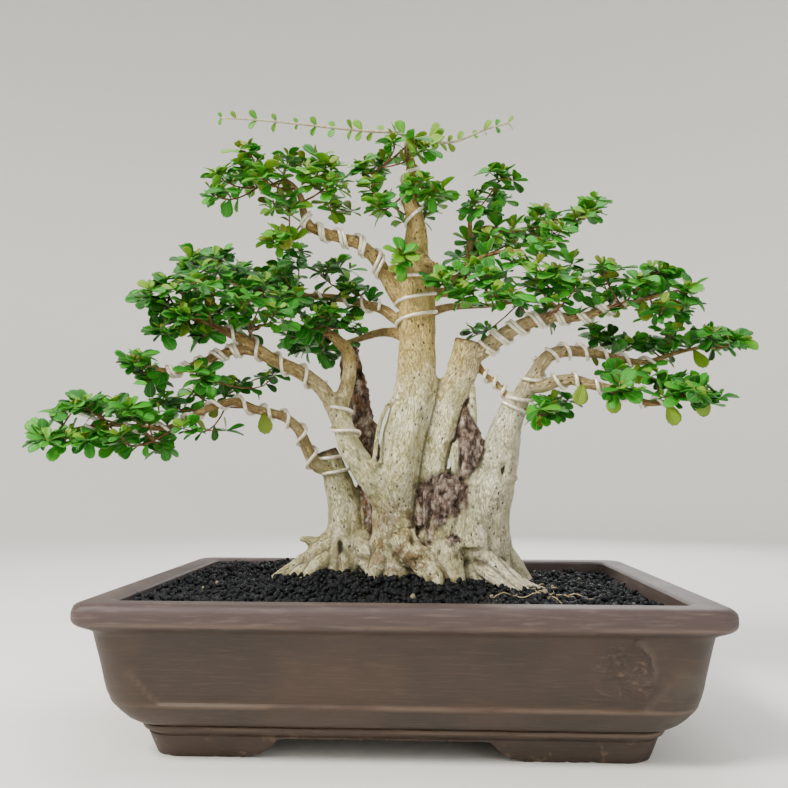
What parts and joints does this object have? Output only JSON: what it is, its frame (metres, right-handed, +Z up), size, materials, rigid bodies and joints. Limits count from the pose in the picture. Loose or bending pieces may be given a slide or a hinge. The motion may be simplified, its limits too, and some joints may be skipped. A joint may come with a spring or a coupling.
{
  "type": "fukien tea bonsai",
  "caption": "Broad fukien tea bonsai with grown-together trunks, wired spreading branches and glossy notched leaves, in black grit in a rectangular unglazed clay pot with feet.",
  "frame": {"origin": "on the surface that the pot stands on, under the centre of the whole part's box; the pot's own centre is 8.6 mm to +X of it", "axes": "+X to the right along the pot's long front, +Y from the front to the back, +Z up"},
  "size_m": [0.7614, 0.4, 0.6503],
  "materials": {
    "clay": "unglazed dark brown fired clay, brushed and slightly chipped",
    "soil": "loose black mineral grit",
    "bark": "pale fissured bark, darker and rotten on the dead trunks",
    "wire": "dull pale annealed wire",
    "leaf": "glossy waxy green leaves on red-brown twigs",
    "mesh_plastic": "plain black plastic mesh"
  },
  "bodies": {
    "root": {"pot": "clay", "drain_screen_left": "mesh_plastic", "drain_screen_right": "mesh_plastic", "soil": "soil", "tree_wood": "bark", "wire_low_left": "wire", "wire_left": "wire", "wire_left_lower": "wire", "wire_top_left": "wire", "wire_back_left": "wire", "wire_right": "wire", "wire_right_low": "wire", "wire_right_lowest": "wire", "wire_trunk": "wire", "spray_low_left_1": "leaf", "spray_low_left_2": "leaf", "spray_low_left_3": "leaf", "spray_low_left_4": "leaf", "spray_left_lower_1": "leaf", "spray_left_lower_2": "leaf", "spray_left_1": "leaf", "spray_left_2": "leaf", "spray_left_3": "leaf", "spray_left_4": "leaf", "spray_left_inner_1": "leaf", "spray_left_inner_2": "leaf", "spray_back_left_1": "leaf", "spray_back_left_2": "leaf", "spray_back_left_3": "leaf", "spray_back_left_4": "leaf", "spray_top_left_1": "leaf", "spray_top_left_2": "leaf", "spray_top_left_3": "leaf", "spray_top_left_4": "leaf", "spray_leader_1": "leaf", "spray_leader_2": "leaf", "spray_leader_3": "leaf", "spray_leader_4": "leaf", "spray_right_top_1": "leaf", "spray_right_upper_1": "leaf", "spray_right_upper_2": "leaf", "spray_right_upper_3": "leaf", "spray_right_front_1": "leaf", "spray_right_front_2": "leaf", "spray_right_front_3": "leaf", "spray_right_1": "leaf", "spray_right_2": "leaf", "spray_right_3": "leaf", "spray_right_4": "leaf", "spray_right_low_1": "leaf", "spray_right_low_2": "leaf", "spray_right_low_3": "leaf", "spray_right_lowest_1": "leaf", "spray_right_lowest_2": "leaf", "spray_right_lowest_3": "leaf", "spray_trunk_right_1": "leaf", "spray_far_left_1": "leaf", "spray_far_right_1": "leaf", "whip_left": "leaf", "whip_right": "leaf"}
  },
  "joints": []
}
